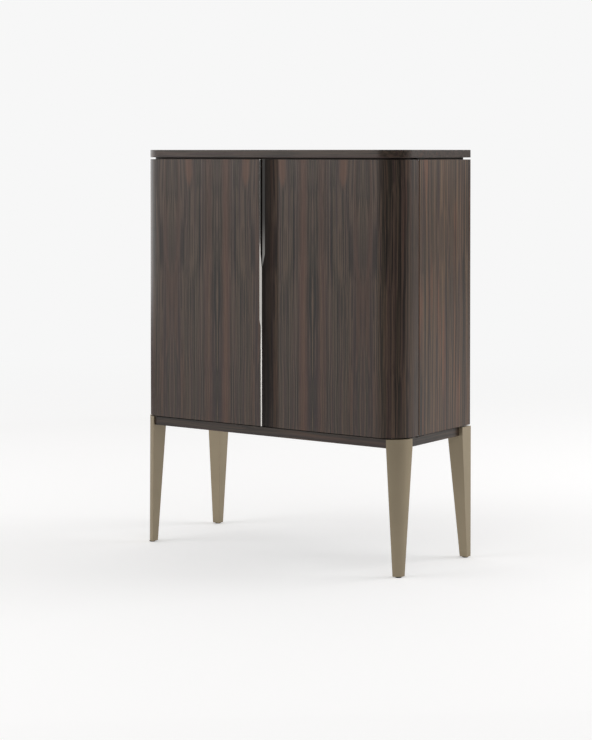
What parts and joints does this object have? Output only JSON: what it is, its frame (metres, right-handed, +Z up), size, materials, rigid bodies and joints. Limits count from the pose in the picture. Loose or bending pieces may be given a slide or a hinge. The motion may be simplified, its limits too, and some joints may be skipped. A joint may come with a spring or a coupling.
{
  "type": "bar_cabinet",
  "caption": "Bar cabinet in dark veneer on a tapered bronze-coloured base, with doors that wrap round the front corners and a serving shelf that folds out of the right door.",
  "frame": {"origin": "on the floor, under the middle of the plan", "axes": "+X right seen from the front, +Y to the back, +Z up"},
  "size_m": [1.004, 0.414, 1.28],
  "materials": {
    "outer_veneer": "dark straight-grained veneer under a satin lacquer",
    "inside_veneer": "dark veneer, matt lacquer",
    "bronze_metal": "satin champagne-bronze coat",
    "polished_metal": "polished edge trim",
    "steel_hardware": "plain hinge and fitting steel",
    "shelf_glass": "clear float glass",
    "dark_underlay": "dark matt board and felt"
  },
  "bodies": {
    "cabinet": {"back_left_glide": "dark_underlay", "back_left_leg": "bronze_metal", "back_rail": "outer_veneer", "back_right_glide": "dark_underlay", "back_right_leg": "bronze_metal", "bottom_spacer": "dark_underlay", "case_back": "inside_veneer", "case_bottom": "outer_veneer", "case_left_side": "outer_veneer", "case_right_side": "outer_veneer", "case_top": "outer_veneer", "door_catch": "steel_hardware", "front_left_glide": "dark_underlay", "front_left_leg": "bronze_metal", "front_rail": "outer_veneer", "front_right_glide": "dark_underlay", "front_right_leg": "bronze_metal", "glass_shelf": "shelf_glass", "glass_shelf_pin_back_left": "steel_hardware", "glass_shelf_pin_back_right": "steel_hardware", "glass_shelf_pin_front_left": "steel_hardware", "glass_shelf_pin_front_right": "steel_hardware", "left_rail": "outer_veneer", "lower_left_hinge_arm": "steel_hardware", "lower_right_hinge_arm": "steel_hardware", "lower_shelf": "inside_veneer", "lower_shelf_pin_back_left": "steel_hardware", "lower_shelf_pin_back_right": "steel_hardware", "lower_shelf_pin_front_left": "steel_hardware", "lower_shelf_pin_front_right": "steel_hardware", "middle_shelf": "inside_veneer", "right_rail": "outer_veneer", "stemware_rail_1": "bronze_metal", "stemware_rail_2": "bronze_metal", "stemware_rail_3": "bronze_metal", "top_slab": "outer_veneer", "top_spacer": "dark_underlay", "upper_left_hinge_arm": "steel_hardware", "upper_right_hinge_arm": "steel_hardware"},
    "left_door": {"left_door": "outer_veneer", "left_door_trim": "polished_metal", "left_door_strike": "steel_hardware", "upper_left_hinge_leaf": "steel_hardware", "lower_left_hinge_leaf": "steel_hardware"},
    "right_door": {"right_door": "outer_veneer", "right_door_trim": "polished_metal", "right_door_strike": "steel_hardware", "upper_right_hinge_leaf": "steel_hardware", "lower_right_hinge_leaf": "steel_hardware", "fold_batten": "inside_veneer", "inner_flap_fixed_leaf": "steel_hardware", "outer_flap_fixed_leaf": "steel_hardware", "support_arm_mount": "steel_hardware", "shelf_catch": "steel_hardware"},
    "fold_shelf": {"fold_shelf": "inside_veneer", "fold_shelf_edge": "bronze_metal", "inner_flap_moving_leaf": "steel_hardware", "outer_flap_moving_leaf": "steel_hardware"},
    "support_arm": {"support_arm": "bronze_metal"}
  },
  "joints": [
    {"name": "left_door_hinge", "type": "hinge", "parent": "cabinet", "child": "left_door", "pos_m": [-0.495, -0.104, 0.834], "axis": [0, 0, -1], "range_deg": [0, 100]},
    {"name": "right_door_hinge", "type": "hinge", "parent": "cabinet", "child": "right_door", "pos_m": [0.495, -0.104, 0.834], "axis": [0, 0, 1], "range_deg": [0, 100]},
    {"name": "fold_shelf_hinge", "type": "hinge", "parent": "right_door", "child": "fold_shelf", "pos_m": [0.2175, -0.1615, 0.90019], "axis": [-1, 0, 0], "range_deg": [0, 90]},
    {"name": "support_arm_hinge", "type": "hinge", "parent": "right_door", "child": "support_arm", "pos_m": [0.3, -0.1538, 0.88], "axis": [0, 0, -1], "range_deg": [0, 90]}
  ]
}
